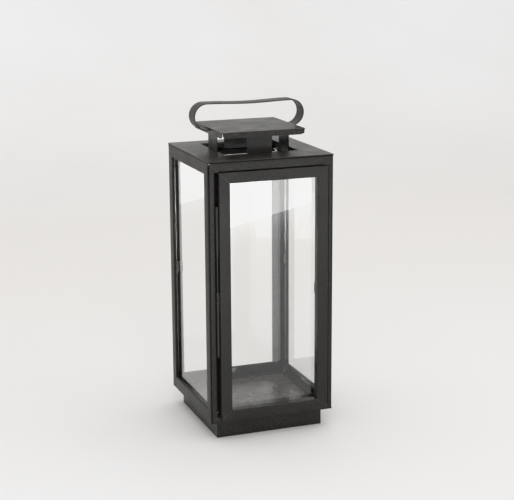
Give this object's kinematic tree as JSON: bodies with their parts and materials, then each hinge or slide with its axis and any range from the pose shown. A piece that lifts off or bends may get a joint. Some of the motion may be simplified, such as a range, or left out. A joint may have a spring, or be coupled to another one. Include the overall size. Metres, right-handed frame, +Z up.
{
  "type": "candle lantern",
  "caption": "Square black steel lantern with glass walls, hinged glass door, vented chimney cap and strap handle, for a candle.",
  "frame": {"origin": "centre of the footprint on the table, under the plinth", "axes": "+Z up; the door faces -Y; +X to the right seen from the door side"},
  "size_m": [0.15, 0.153, 0.38],
  "materials": {
    "body_black": "satin charcoal black powder coat, fine grain",
    "door_black": "satin charcoal black powder coat, fine grain",
    "handle_black": "satin charcoal black powder coat",
    "floor_black": "semi-gloss black paint",
    "hinge_black": "satin black paint, worn to a sheen",
    "fitting_steel": "thin dark paint on spring steel",
    "magnet_ferrite": "dull grey ferrite",
    "clear_glass": "clear float glass, 2 mm"
  },
  "bodies": {
    "lantern": {"base_plinth": "body_black", "top_plate": "body_black", "chimney_cap": "body_black", "floor_plate": "floor_black", "carry_handle": "handle_black", "chimney_leg_front": "body_black", "chimney_leg_right": "body_black", "chimney_leg_back": "body_black", "chimney_leg_left": "body_black", "left_left_stile": "body_black", "left_right_stile": "body_black", "left_bottom_rail": "body_black", "left_top_rail": "body_black", "left_glass": "clear_glass", "left_clip_left": "fitting_steel", "left_clip_right": "fitting_steel", "left_clip_bottom": "fitting_steel", "left_clip_top": "fitting_steel", "right_left_stile": "body_black", "right_right_stile": "body_black", "right_bottom_rail": "body_black", "right_top_rail": "body_black", "right_glass": "clear_glass", "right_clip_left": "fitting_steel", "right_clip_right": "fitting_steel", "right_clip_bottom": "fitting_steel", "right_clip_top": "fitting_steel", "back_left_stile": "body_black", "back_right_stile": "body_black", "back_bottom_rail": "body_black", "back_top_rail": "body_black", "back_glass": "clear_glass", "back_clip_left": "fitting_steel", "back_clip_right": "fitting_steel", "back_clip_bottom": "fitting_steel", "back_clip_top": "fitting_steel", "front_hinge_stile": "body_black", "front_catch_stile": "body_black", "front_bottom_rail": "body_black", "front_top_rail": "body_black", "hinge_barrel_lower": "hinge_black", "hinge_barrel_upper": "hinge_black", "hinge_pin": "hinge_black", "catch_bracket": "fitting_steel", "catch_magnet": "magnet_ferrite"},
    "door": {"door_hinge_stile": "door_black", "door_free_stile": "door_black", "door_bottom_rail": "door_black", "door_top_rail": "door_black", "door_glass": "clear_glass", "door_knuckle": "hinge_black", "door_keeper": "fitting_steel", "door_clip_left": "fitting_steel", "door_clip_right": "fitting_steel", "door_clip_bottom": "fitting_steel", "door_clip_top": "fitting_steel"}
  },
  "joints": [
    {"name": "door_hinge", "type": "hinge", "parent": "lantern", "child": "door", "pos_m": [-0.0655, -0.0754, 0.1876], "axis": [0, 0, -1], "range_deg": [0, 120]}
  ]
}
